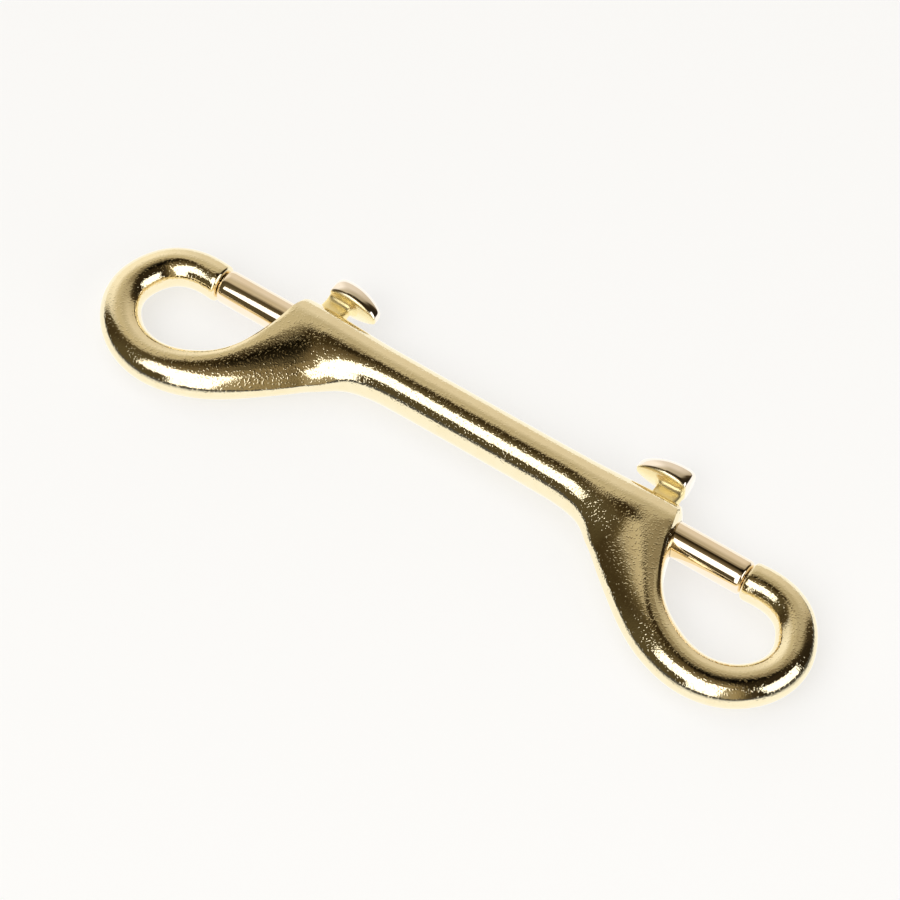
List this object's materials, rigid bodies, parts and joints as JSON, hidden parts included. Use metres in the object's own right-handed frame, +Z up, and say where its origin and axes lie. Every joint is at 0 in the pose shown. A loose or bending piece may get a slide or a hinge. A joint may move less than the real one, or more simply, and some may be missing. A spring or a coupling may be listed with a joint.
{
  "type": "bolt snap",
  "caption": "Double-ended bolt snap: a round shank between closed hooks, each shut by a sprung sliding bolt that a thumb stud draws back.",
  "frame": {"origin": "centre of the box of the snap lying on its side, at the floor", "axes": "+X along the shank to the right hook, +Y from the hooks to the thumb studs, +Z up from the floor"},
  "size_m": [0.112, 0.0286, 0.0084],
  "materials": {
    "casting": "polished cast brass with a slight cast grain",
    "bolt": "polished turned brass",
    "stud": "polished brass",
    "spring": "drawn stainless spring wire"
  },
  "bodies": {
    "casting": {"body": "casting", "right_spring": "spring", "left_spring": "spring"},
    "right_slider": {"right_bolt": "bolt", "right_stud": "stud"},
    "left_slider": {"left_bolt": "bolt", "left_stud": "stud"}
  },
  "joints": [
    {"name": "right_bolt_slide", "type": "slide", "parent": "casting", "child": "right_slider", "axis": [-1, 0, 0], "range_m": [0, 0.0114], "stiffness_N_per_m": 350, "springref_m": -0.002, "deforming": ["right_spring"]},
    {"name": "left_bolt_slide", "type": "slide", "parent": "casting", "child": "left_slider", "axis": [1, 0, 0], "range_m": [0, 0.0114], "stiffness_N_per_m": 350, "springref_m": -0.002, "deforming": ["left_spring"]}
  ]
}
